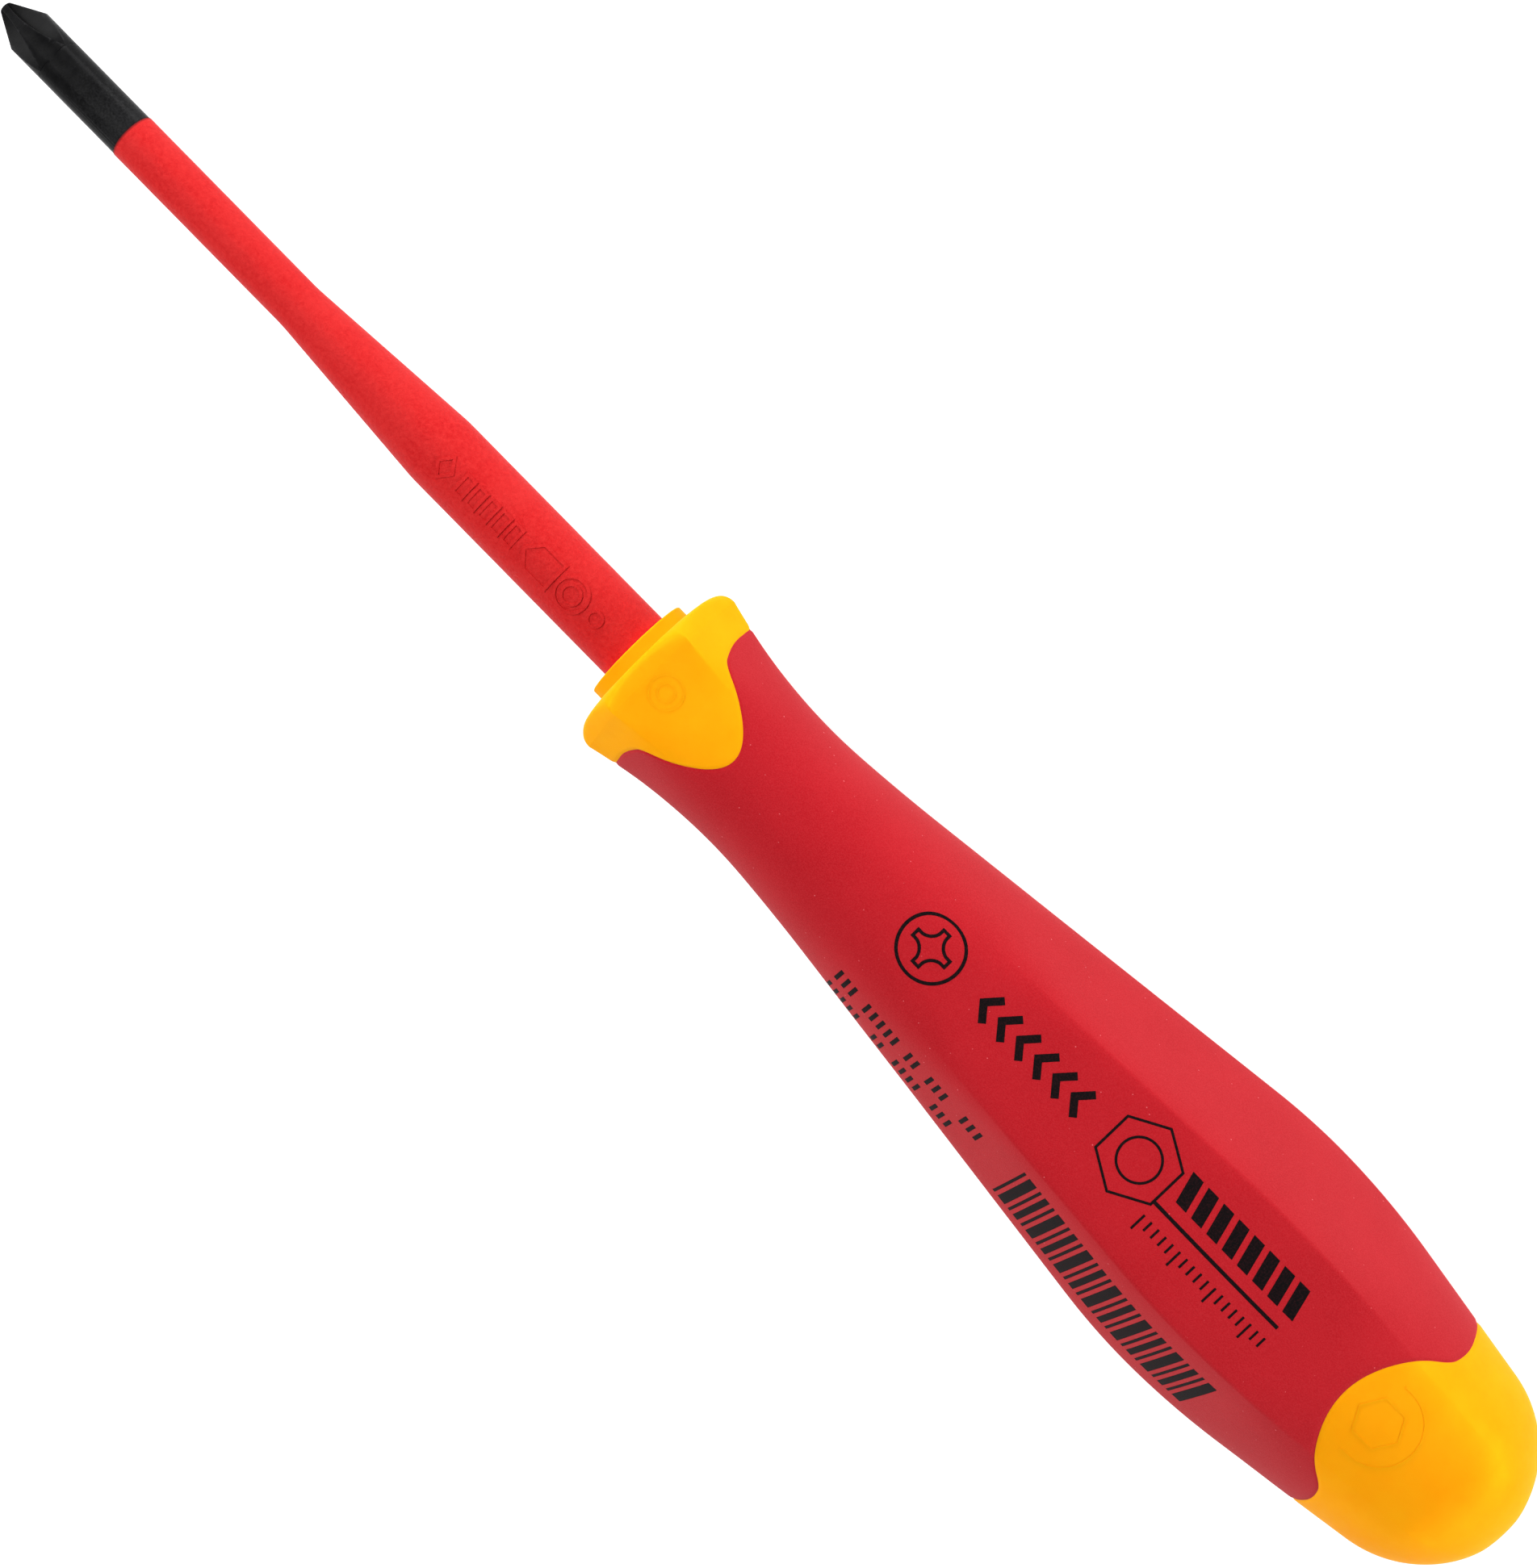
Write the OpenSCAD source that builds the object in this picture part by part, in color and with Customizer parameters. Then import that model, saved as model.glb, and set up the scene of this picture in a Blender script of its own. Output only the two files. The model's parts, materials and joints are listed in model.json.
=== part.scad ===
// Insulated screwdriver for cross recess screws, size 1, with an 80 mm blade.
// The tool lies along X with its tip towards +X. Z is up, and Z = 0 touches the lowest flat
// of the handle. X = 0 is half way along the tool. Lengths are in millimetres.

/* [Blade] */
// Length of the blade from its tip to the front of the handle
blade_length = 80; // [75:1:125]
// Diameter of the bare steel at the tip
steel_d = 4.5; // [4:0.1:5]
// Length of steel that stays bare in front of the insulation
bare_length = 16; // [12:1:18]
// Diameter of the steel where it is stepped down below the slim insulation
stepped_d = 3.2; // [2.8:0.1:3.6]
// Diameter of the steel below the thick insulation and inside the handle
shank_d = 4; // [3.8:0.1:4.2]
// Length of the pointed cone at the tip
cone_length = 3.1; // [2.8:0.1:3.6]
// Diameter of the blunt end of the cone
point_d = 1.15; // [0.9:0.05:1.3]
// Distance from the tool's axis to the bottom of each flute
flute_root = 0.45; // [0.35:0.01:0.5]
// Radius of the grinding wheel that cuts the flutes, which sets how far back they run
flute_wheel_r = 10; // [8:0.5:12]

/* [Insulation] */
// Diameter of the slim front part of the insulation
slim_d = 4.6; // [4.5:0.05:5]
// Diameter of the thick rear part of the insulation
thick_d = 7.15; // [6.5:0.05:7.5]
// Length of the cone between the slim part and the thick part
taper_length = 17.8; // [14:0.2:20]
// Length of the thick part that shows in front of the handle
thick_length = 24.9; // [20:0.1:30]
// Depth of the insulation inside the handle
insulation_depth = 14; // [10:1:18]
// Diameter of the thicker root of the insulation inside the handle
root_d = 7.5; // [7.5:0.05:8]
// Length over which the front edge of the insulation rises from the steel
edge_length = 0.8; // [0.6:0.1:1.5]

/* [Handle outside] */
// Length of the handle with its collar
handle_length = 111; // [106:1:120]
// Radius of the collar at the front of the core
collar_r = 5.35; // [5:0.05:5.6]
// Length of the collar in front of the guard
collar_length = 1.4; // [0.8:0.1:1.6]
// Largest radius of the guard, over its corners
guard_r = 9.3; // [8.8:0.05:9.4]
// Distance from the axis to the six flats of the guard at its crest
guard_flat = 8.05; // [7.8:0.05:8.15]
// Radius of the round neck behind the guard
neck_r = 7; // [6.8:0.1:7.5]
// Largest radius of the handle, over its corners
belly_r = 13.7; // [13:0.05:14]
// Distance from the axis to a flat of the belly, as a share of the radius over the corners
flatness = 0.89; // [0.87:0.01:0.95]
// Length of the dome at the rear end
dome_length = 9.4; // [9:0.1:12]

/* [Yellow and red parts] */
// How far back the two guard petals reach, from the front of the handle
guard_petal = 13.55; // [12:0.05:15]
// Where the guard ends between its petals, from the front of the handle
guard_edge = 5.95; // [5.5:0.05:7]
// How far the two petals of the end cap reach, from the rear of the handle
cap_petal = 21.65; // [20:0.05:24]
// Where the end cap starts between its petals, from the rear of the handle
cap_edge = 15.15; // [13:0.05:17]

/* [Inside] */
// Length of steel held inside the handle
anchor_length = 58; // [48:1:66]
// Distance over the two pressed wings that hold the blade in the core
wing_span = 8.4; // [7:0.2:9]
// Radius of the core inside the belly
core_belly_r = 9; // [8:0.1:9.4]
// Radius of the core inside the end cap
core_tail_r = 6.4; // [5.8:0.1:7]

/* [Hidden] */

$fn = 96;
total_length = blade_length + handle_length;
tip_x = total_length / 2;
handle_x = tip_x - blade_length;

// Angle between two flats of the handle, and from a flat to a corner
flat_turn = 60;
corner_turn = flat_turn / 2;
// Steps round the handle, five degrees each, so that every corner falls on a step
steps = 72;
step_angle = 360 / steps;

// Stations along the handle, as distances back from its front face
crest_at = 3.25;
flare_at = 12;
flare_blend = 9;
rise_at = 18.5;
rise_blend = 12;
top_at = handle_length - 38.5;
top_blend = 4;
fall_at = handle_length - 28.8;
fall_blend = 6;
dome_at = handle_length - dome_length;
// The guard's flats fade out behind its crest; the belly's flats fade in, and out on the cap
guard_flats_end = 15.2;
flats_from = 23;
flats_full = 56;
flats_fade = handle_length - 30;
flats_end = handle_length - 13;
// Where the handle is round, the flats lie outside it by this factor
clear_share = 1.05;

// Slopes of the corner line: up to the belly, down behind it, and up the flare to the guard
rise_slope = (belly_r - neck_r) / (top_at - rise_at);
fall_slope = 0.155;
flare_slope = (guard_r - neck_r) / flare_blend;

// The grinding wheel's centre behind the tip, and half the thickness behind its V-shaped rim
flute_wheel_at = 1;
flute_wheel_half = 3;

// The shoulder in front of the guard's crest, and the power of its rounded outline
shoulder_height = 2.25;
shoulder_power = 2.3;
dome_power = 2.2;
// A high power keeps the corners of the flats nearly sharp
corner_power = 50;
smallest_r = 0.001;
smallest_rest = 1e-80;

// Angles from a petal's middle line where its edge turns: the round top, the foot and the rest
guard_turns = [18.6, 42, 61];
cap_turns = [21, 43.5, 57.5];
// Half the width of the blend at each of these turns
guard_blends = [18.6, 5, 14];
cap_blends = [21, 5, 9];
// Slope of a petal's foot, as a share of the slope of its side
guard_foot = 0.2;
cap_foot = 0.3;

// Core stations, as distances back from the front of the handle
core_neck_end = 22;
core_belly_start = 60;
core_belly_end = handle_length - 25;
core_tail_start = handle_length - 15;
core_end = handle_length - 7;
// Chamfer on the steel's inner end
anchor_chamfer = 1;
// Radius inside the core at which the parts around it close, before the core is taken out
seed_r = 3;
// Overlap that a cutter needs beyond the faces it cuts
cut = 1;

// Zero before the corner, a straight line of slope one after it, and a parabola in between
function ramp(d, blend) = d <= -blend ? 0 : d >= blend ? d : pow(d + blend, 2) / (4 * blend);

// Smooth step from 0 to 1
function ease(t) = let (u = min(max(t, 0), 1)) u * u * (3 - 2 * u);

// Outline that falls from 1 at t = 0 to 0 at t = 1, like a rounded quarter
function quarter(t, power) = pow(1 - pow(min(max(t, 0), 1), power), 1 / power);

// Radius over the corners at the distance h behind the front of the handle
function corner_line(h) =
    neck_r
    + flare_slope * ramp(flare_at - h, flare_blend)
    + rise_slope * (ramp(h - rise_at, rise_blend) - ramp(h - top_at, top_blend))
    - fall_slope * ramp(h - fall_at, fall_blend);

function shoulder_drop(h) =
    h >= crest_at ? 0 : shoulder_height
        * (1 - quarter((crest_at - h) / (crest_at - collar_length), shoulder_power));

// Radius over the corners, without the shoulder in front of the guard
function body_radius(h) =
    corner_line(max(h, crest_at)) * quarter((h - dome_at) / dome_length, dome_power);

function corner_radius(h) = body_radius(h) - shoulder_drop(h);

// Distance from the axis to the flats, as a share of the radius over the corners
function flat_share(h) =
    let (
        guard_share = guard_flat / corner_line(crest_at),
        on_guard = 1 - ease((h - crest_at) / (guard_flats_end - crest_at)),
        on_belly = ease((h - flats_from) / (flats_full - flats_from))
            * (1 - ease((h - flats_fade) / (flats_end - flats_fade)))
    )
    clear_share
    - (clear_share - guard_share) * on_guard
    - (clear_share - flatness) * on_belly;

function flat_radius(h) = body_radius(h) * flat_share(h);

// The smaller of two radii, with a short blend where they are nearly the same
function smaller(a, b) = pow(pow(a, -corner_power) + pow(b, -corner_power), -1 / corner_power);

// The round that meets the flats so that the blend comes out at the corner radius
function round_behind(corner, flat) =
    let (rest = pow(corner, -corner_power) - pow(flat / cos(corner_turn), -corner_power))
    pow(max(rest, smallest_rest), -1 / corner_power);

// Radius of the handle at the distance h and at an angle from the top flat
function handle_radius(h, angle) =
    let (
        turn = (angle + 360 + corner_turn) % flat_turn - corner_turn,
        corner = max(corner_radius(h), smallest_r),
        flat = max(flat_radius(h), smallest_r)
    )
    smaller(round_behind(corner, flat), flat / cos(turn));

// Height of the tool's axis when the handle lies on one of its flats
axis_z = max([for (h = [top_at - top_blend : 0.25 : dome_at]) handle_radius(h, 0)]);

// Angle from the nearer of the two petals, from 0 on a petal to 90 half way between them
function petal_angle(angle) = let (a = angle % 180) min(a, 180 - a);

// How far a petal's edge has drawn back, from 0 on its middle line to 1 between two petals
function petal_share(angle, turns, blends, foot) =
    let (
        a = petal_angle(angle),
        side = ramp(a - turns[0], blends[0]) - ramp(a - turns[1], blends[1]),
        rest = ramp(a - turns[1], blends[1]) - ramp(a - turns[2], blends[2])
    )
    (side + foot * rest) / (turns[1] - turns[0] + foot * (turns[2] - turns[1]));

// Where the guard ends and the grip starts, at an angle from the top flat
function guard_line(angle) =
    guard_petal
    - (guard_petal - guard_edge) * petal_share(angle, guard_turns, guard_blends, guard_foot);

// Where the grip ends and the end cap starts, at an angle from the top flat
function cap_line(angle) =
    handle_length - cap_petal
    + (cap_petal - cap_edge) * petal_share(angle, cap_turns, cap_blends, cap_foot);

// A point at the distance h and the radius r, at an angle from the top
function place(h, r, angle) = [handle_x - h, r * sin(angle), axis_z + r * cos(angle)];

function skin_loop(line) = [
    for (i = [0 : steps - 1])
        let (angle = i * step_angle, h = line[i])
        place(h, handle_radius(h, angle), angle)
];

function seed_loop(line) = [
    for (i = [0 : steps - 1]) place(line[i], seed_r, i * step_angle)
];

function level(h) = [for (i = [0 : steps - 1]) h];
function guard_rim() = [for (i = [0 : steps - 1]) guard_line(i * step_angle)];
function cap_rim() = [for (i = [0 : steps - 1]) cap_line(i * step_angle)];
function between(a, b, t) = [for (i = [0 : steps - 1]) a[i] + (b[i] - a[i]) * t];

// A closed solid through a row of loops, with a point at each end. The bands lean the same
// way on both sides of a joint line, so that two parts that meet there share every face.
module solid_of(front, loops, rear, first_leans = false) {
    count = len(loops);
    base = 1;
    last = base + count * steps;
    points = concat([front], [for (l = loops) each l], [rear]);
    function at(loop, i) = base + loop * steps + i % steps;
    function band(k, i) = first_leans && k == 0
        ? [[at(k, i), at(k + 1, i), at(k, i + 1)], [at(k, i + 1), at(k + 1, i), at(k + 1, i + 1)]]
        : [[at(k, i), at(k + 1, i), at(k + 1, i + 1)], [at(k, i), at(k + 1, i + 1), at(k, i + 1)]];
    faces = concat(
        [for (i = [0 : steps - 1]) [0, at(0, i), at(0, i + 1)]],
        [for (k = [0 : count - 2], i = [0 : steps - 1]) each band(k, i)],
        [for (i = [0 : steps - 1]) [last, at(count - 1, i + 1), at(count - 1, i)]]
    );
    polyhedron(points, faces);
}

// A round body along X, from an outline of [distance behind the front of the handle, radius]
module turned(outline) {
    translate([handle_x, 0, axis_z])
        rotate([0, -90, 0])
            rotate_extrude()
                polygon([for (p = outline) [p[1], p[0]]]);
}

// A straight round bar along X between two distances behind the front of the handle
module bar(from, to, radius) {
    translate([handle_x - from, 0, axis_z])
        rotate([0, -90, 0])
            cylinder(h = to - from, r = radius);
}

// A flat rib along the axis, from its side outline, turned to an angle from the top
module rib(outline, thickness, angle) {
    translate([handle_x, 0, axis_z])
        rotate([-angle, 0, 0])
            rotate([90, 0, 0])
                translate([0, 0, -thickness / 2])
                    linear_extrude(thickness)
                        polygon([for (p = outline) [-p[0], p[1]]]);
}

// One of the four flutes of the tip, as the wheel with a V-shaped rim that grinds it
module flute(angle) {
    translate([tip_x - flute_wheel_at, 0, axis_z])
        rotate([angle, 0, 0])
            translate([0, 0, flute_root + flute_wheel_r])
                rotate([90, 0, 0])
                    rotate_extrude()
                        polygon([
                            [0, -flute_wheel_half],
                            [flute_wheel_r - flute_wheel_half, -flute_wheel_half],
                            [flute_wheel_r, 0],
                            [flute_wheel_r - flute_wheel_half, flute_wheel_half],
                            [0, flute_wheel_half]
                        ]);
}

module steel_body() {
    slim_end = -thick_length - taper_length;
    turned([
        [-blade_length, 0],
        [-blade_length, point_d / 2],
        [-blade_length + cone_length, steel_d / 2],
        [-blade_length + bare_length, steel_d / 2],
        [-blade_length + bare_length, stepped_d / 2],
        [slim_end, stepped_d / 2],
        [-thick_length, shank_d / 2],
        [anchor_length - anchor_chamfer, shank_d / 2],
        [anchor_length, shank_d / 2 - anchor_chamfer],
        [anchor_length, 0]
    ]);
}

// The two wings pressed out of the steel stop it from turning or pulling out of the core
module steel_wings() {
    wing_thickness = 1.6;
    wing_length = 10;
    wing_rear = anchor_length - 12;
    wing_front = wing_rear - wing_length;
    // Length and height of the slope that takes off each corner of a wing
    slope_length = 3;
    slope_height = 1.4;
    half = wing_span / 2;
    rib([
        [wing_front, -half + slope_height],
        [wing_front + slope_length, -half],
        [wing_rear - slope_length, -half],
        [wing_rear, -half + slope_height],
        [wing_rear, half - slope_height],
        [wing_rear - slope_length, half],
        [wing_front + slope_length, half],
        [wing_front, half - slope_height]
    ], wing_thickness, 90);
}

module steel() {
    steel_body();
    steel_wings();
}

module blade() {
    color([0.14, 0.14, 0.15])
        difference() {
            steel();
            for (angle = [45 : 90 : 315]) flute(angle);
        }
}

// Outside of the moulded sleeve, without the steel inside it
module sleeve_body() {
    turned([
        [-blade_length + bare_length, 0],
        [-blade_length + bare_length, steel_d / 2],
        [-blade_length + bare_length + edge_length, slim_d / 2],
        [-thick_length - taper_length, slim_d / 2],
        [-thick_length, thick_d / 2],
        [0, thick_d / 2],
        [0, root_d / 2],
        [insulation_depth, root_d / 2],
        [insulation_depth, 0]
    ]);
}

module blade_insulation() {
    color([0.9, 0.15, 0.16])
        difference() {
            sleeve_body();
            steel_body();
        }
}

// Outside of the hard core: the collar, the neck, the belly and the tail
module core_body() {
    turned([
        [0, 0],
        [0, collar_r],
        [core_neck_end, collar_r],
        [core_belly_start, core_belly_r],
        [core_belly_end, core_belly_r],
        [core_tail_start, core_tail_r],
        [core_end, core_tail_r],
        [core_end, 0]
    ]);
}

// Ribs that lock the grip on the core
module grip_ribs() {
    rib_height = 0.9;
    rib_thickness = 2;
    rib_front = core_neck_end + 8;
    rib_rear = core_belly_end - 2;
    rib_root = collar_r - 1;
    for (angle = [flat_turn : flat_turn : 360 - flat_turn])
        rib([
            [rib_front, rib_root],
            [core_belly_start, core_belly_r + rib_height],
            [rib_rear, core_belly_r + rib_height],
            [rib_rear, rib_root]
        ], rib_thickness, angle);
}

// Dogs that lock the guard and the end cap on the core
module end_dogs() {
    dog_thickness = 3;
    dog_root = 2;
    guard_dog_r = collar_r + 1.1;
    guard_dog_front = 2.2;
    guard_dog_rear = 4.8;
    cap_dog_r = core_tail_r + 1.3;
    cap_dog_front = core_tail_start + 3.5;
    cap_dog_rear = core_end - 1;
    for (angle = [90, 270]) {
        rib([
            [guard_dog_front, dog_root],
            [guard_dog_front, guard_dog_r],
            [guard_dog_rear, guard_dog_r],
            [guard_dog_rear, dog_root]
        ], dog_thickness, angle);
        rib([
            [cap_dog_front, dog_root],
            [cap_dog_front, cap_dog_r],
            [cap_dog_rear, cap_dog_r],
            [cap_dog_rear, dog_root]
        ], dog_thickness, angle);
    }
}

module core() {
    core_body();
    grip_ribs();
    end_dogs();
}

module handle_core() {
    color([0.98, 0.7, 0.08])
        difference() {
            core();
            bar(-cut, insulation_depth, root_d / 2);
            steel_wings();
            turned([
                [insulation_depth - cut, 0],
                [insulation_depth - cut, shank_d / 2],
                [anchor_length - anchor_chamfer, shank_d / 2],
                [anchor_length, shank_d / 2 - anchor_chamfer],
                [anchor_length, 0]
            ]);
        }
}

module front_guard() {
    front = level(collar_length);
    crest = level(crest_at);
    // Close steps round the shoulder, then even steps to the edge of the petals
    shoulder = [0, 0.03, 0.09, 0.19, 0.33, 0.52, 0.75, 1];
    color([0.99, 0.72, 0.06])
        difference() {
            solid_of(
                place(collar_length, 0, 0),
                concat(
                    [seed_loop(front)],
                    [for (t = shoulder) skin_loop(between(front, crest, t))],
                    [for (t = [0.2 : 0.2 : 1]) skin_loop(between(crest, guard_rim(), t))],
                    [seed_loop(guard_rim())]
                ),
                place(guard_edge, 0, 0)
            );
            core();
        }
}

module grip() {
    bands = 27;
    color([0.82, 0.12, 0.17])
        difference() {
            solid_of(
                place(guard_edge, 0, 0),
                concat(
                    [seed_loop(guard_rim())],
                    [for (k = [0 : bands]) skin_loop(between(guard_rim(), cap_rim(), k / bands))],
                    [seed_loop(cap_rim())]
                ),
                place(handle_length - cap_petal, 0, 0),
                first_leans = true
            );
            core();
        }
}

module end_cap() {
    dome_bands = 9;
    dome = level(dome_at);
    // Equal turns round the dome give closer loops towards its end
    function dome_level(k) = dome_at + dome_length * sin(90 * k / (dome_bands + 0.6));
    color([0.98, 0.68, 0.08])
        difference() {
            solid_of(
                place(handle_length - cap_petal, 0, 0),
                concat(
                    [seed_loop(cap_rim())],
                    [for (t = [0 : 0.25 : 0.75]) skin_loop(between(cap_rim(), dome, t))],
                    [for (k = [0 : dome_bands]) skin_loop(level(dome_level(k)))]
                ),
                place(handle_length, 0, 0),
                first_leans = true
            );
            core();
        }
}

blade();
blade_insulation();
handle_core();
front_guard();
grip();
end_cap();
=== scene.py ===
"""The looks of the insulated screwdriver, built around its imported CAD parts.

The tool lies along X with its tip towards +X, and Z is up. Shapes are worked out in millimetres:
h is a distance behind the front face of the handle, u a distance behind the tip, and an angle is
turned from the top flat towards +Y. They become metres when a mesh is made.
"""

import json
import math

import bmesh
import bpy
import numpy as np
from mathutils import Matrix, Vector

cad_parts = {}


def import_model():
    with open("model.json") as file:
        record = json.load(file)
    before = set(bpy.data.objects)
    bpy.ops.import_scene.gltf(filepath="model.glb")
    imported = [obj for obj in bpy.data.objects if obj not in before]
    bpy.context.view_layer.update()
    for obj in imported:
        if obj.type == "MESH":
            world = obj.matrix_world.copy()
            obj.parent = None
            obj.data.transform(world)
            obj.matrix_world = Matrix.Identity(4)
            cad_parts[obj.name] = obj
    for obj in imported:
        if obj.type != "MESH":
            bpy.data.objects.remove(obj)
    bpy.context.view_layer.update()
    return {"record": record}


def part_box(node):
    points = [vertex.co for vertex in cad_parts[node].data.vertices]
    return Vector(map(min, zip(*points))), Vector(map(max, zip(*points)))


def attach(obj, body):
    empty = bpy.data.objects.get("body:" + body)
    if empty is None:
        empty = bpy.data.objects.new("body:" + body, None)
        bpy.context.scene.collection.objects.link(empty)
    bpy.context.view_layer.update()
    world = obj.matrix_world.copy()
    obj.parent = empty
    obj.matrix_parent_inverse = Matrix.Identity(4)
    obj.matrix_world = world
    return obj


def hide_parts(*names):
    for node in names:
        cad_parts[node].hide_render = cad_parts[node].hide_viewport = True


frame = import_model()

MM = 0.001

# ---------------------------------------------------------------------------------------------
# Sizes, in millimetres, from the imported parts
# ---------------------------------------------------------------------------------------------


def mount(name):
    """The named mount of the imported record."""
    return next(m for m in frame["record"]["mounts"] if m["name"] == name)


def box_mm(node):
    """The lowest and highest corner of a CAD node."""
    low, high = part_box(node)
    return low / MM, high / MM


TIP_X = box_mm("blade")[1].x
HANDLE_X = box_mm("handle_core")[1].x
AXIS_Z = mount("driver_tip")["pos_m"][2] / MM
BLADE_LENGTH = TIP_X - HANDLE_X
HANDLE_LENGTH = HANDLE_X - box_mm("end_cap")[0].x
STEEL_R = mount("driver_tip")["dims"]["r_mm"]
THICK_R = mount("insulated_shank")["dims"]["r_mm"]
THICK_LENGTH = mount("insulated_shank")["dims"]["length_mm"]
BARE_LENGTH = TIP_X - box_mm("blade_insulation")[1].x
STEEL_DEPTH = HANDLE_X - box_mm("blade")[0].x
SLEEVE_DEPTH = HANDLE_X - box_mm("blade_insulation")[0].x
ROOT_R = box_mm("blade_insulation")[1].y

# Blade
POINT_R = 0.575
CONE_LENGTH = 3.1
FLUTE_ROOT = 0.45
WHEEL_R = 10
WHEEL_AT = 1
STEPPED_R = 1.6
SHANK_R = 2.0
END_CHAMFER = 1

# Sleeve
SLIM_R = 2.3
TAPER_LENGTH = 17.8

# Handle
COLLAR_R = 5.35
COLLAR_LENGTH = 1.4
GUARD_R = 9.3
GUARD_FLAT = 8.05
NECK_R = 7
BELLY_R = 13.7
FLATNESS = 0.89
DOME_LENGTH = 9.4
GUARD_PETAL = 13.55
GUARD_EDGE = 5.95
CAP_PETAL = 21.65
CAP_EDGE = 15.15

# Stations of the handle's outline, and its slopes
CREST_AT = 3.25
FLARE_AT, FLARE_BLEND = 12, 9
RISE_AT, RISE_BLEND = 18.5, 12
TOP_AT, TOP_BLEND = HANDLE_LENGTH - 38.5, 4
FALL_AT, FALL_BLEND = HANDLE_LENGTH - 28.8, 6
DOME_AT = HANDLE_LENGTH - DOME_LENGTH
GUARD_FLATS_END = 15.2
FLATS_FROM, FLATS_FULL = 23, 56
FLATS_FADE, FLATS_END = HANDLE_LENGTH - 30, HANDLE_LENGTH - 13
CLEAR_SHARE = 1.05
RISE_SLOPE = (BELLY_R - NECK_R) / (TOP_AT - RISE_AT)
FALL_SLOPE = 0.155
FLARE_SLOPE = (GUARD_R - NECK_R) / FLARE_BLEND
SHOULDER_HEIGHT = 2.25
SHOULDER_POWER = 2.3
DOME_POWER = 2.2

# Each petal's edge turns at three angles (its round top, its foot and its rest), each with a
# blend; the slope of the foot is a share of the slope of the side
GUARD_TURNS, GUARD_BLENDS, GUARD_FOOT = (18.6, 42, 61), (18.6, 5, 14), 0.2
CAP_TURNS, CAP_BLENDS, CAP_FOOT = (21, 43.5, 57.5), (21, 5, 9), 0.3

# The handle has six flats. How crisp the corners between them are, at four stations
FLAT_TURN = 60
CORNER_TURN = FLAT_TURN / 2
CRISPNESS_AT = [15, 40, 60, 90]
CRISPNESS = [20, 26, 26, 12]

# Floors that keep the formulas away from zero
SMALLEST_R = 0.001
SMALLEST_SHARE = 1e-9

# Core
CORE_OUTLINE = [
    (22, COLLAR_R),
    (60, 9),
    (HANDLE_LENGTH - 25, 9),
    (HANDLE_LENGTH - 15, 6.4),
    (HANDLE_LENGTH - 7, 6.4),
]

# ---------------------------------------------------------------------------------------------
# The handle's surface
# ---------------------------------------------------------------------------------------------


def ramp(d, blend):
    """Zero before the corner, a line of slope one after it, and a parabola in between."""
    d = np.asarray(d, float)
    return np.where(d <= -blend, 0, np.where(d >= blend, d, (d + blend) ** 2 / (4 * blend)))


def ease(t):
    """Smooth step from 0 to 1."""
    t = np.clip(t, 0, 1)
    return t * t * (3 - 2 * t)


def quarter(t, power):
    """An outline that falls from 1 at t = 0 to 0 at t = 1, like a rounded quarter."""
    return (1 - np.clip(t, 0, 1) ** power) ** (1 / power)


def corner_line(h):
    """Radius over the corners, before the dome closes it."""
    flare = FLARE_SLOPE * ramp(FLARE_AT - h, FLARE_BLEND)
    rise = RISE_SLOPE * (ramp(h - RISE_AT, RISE_BLEND) - ramp(h - TOP_AT, TOP_BLEND))
    fall = FALL_SLOPE * ramp(h - FALL_AT, FALL_BLEND)
    return NECK_R + flare + rise - fall


def shoulder_drop(h):
    """How far the shoulder in front of the guard's crest has fallen."""
    ahead = (CREST_AT - h) / (CREST_AT - COLLAR_LENGTH)
    return SHOULDER_HEIGHT * (1 - quarter(ahead, SHOULDER_POWER))


def body_radius(h):
    """Radius over the corners, without the shoulder in front of the guard."""
    return corner_line(np.maximum(h, CREST_AT)) * quarter((h - DOME_AT) / DOME_LENGTH, DOME_POWER)


def corner_radius(h):
    return body_radius(h) - shoulder_drop(h)


def flat_radius(h):
    """Distance from the axis to the flats, which lie outside the handle where it is round."""
    guard_share = GUARD_FLAT / corner_line(CREST_AT)
    on_guard = 1 - ease((h - CREST_AT) / (GUARD_FLATS_END - CREST_AT))
    on_belly = ease((h - FLATS_FROM) / (FLATS_FULL - FLATS_FROM))
    on_belly = on_belly * (1 - ease((h - FLATS_FADE) / (FLATS_END - FLATS_FADE)))
    share = CLEAR_SHARE - (CLEAR_SHARE - guard_share) * on_guard
    return body_radius(h) * (share - (CLEAR_SHARE - FLATNESS) * on_belly)


def handle_radius(h, angle):
    """Radius of the handle at the distance h and at an angle in degrees."""
    h, angle = np.broadcast_arrays(np.asarray(h, float), np.asarray(angle, float))
    turn = np.radians((angle + 360 + CORNER_TURN) % FLAT_TURN - CORNER_TURN)
    power = np.interp(h, CRISPNESS_AT, CRISPNESS)
    corner = np.maximum(corner_radius(h), SMALLEST_R)
    flat = np.maximum(flat_radius(h), SMALLEST_R)
    # The round behind the flats is a little larger where the blend would cut the corner down
    share = 1 - (corner * math.cos(math.radians(CORNER_TURN)) / flat) ** power
    behind = corner * np.maximum(share, SMALLEST_SHARE) ** (-1 / power)
    facet = flat / np.cos(turn)
    return behind * (1 + (behind / facet) ** power) ** (-1 / power)


def petal_angle(angle):
    """Angle from the nearer of the two petals."""
    a = np.asarray(angle, float) % 180
    return np.minimum(a, 180 - a)


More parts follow.
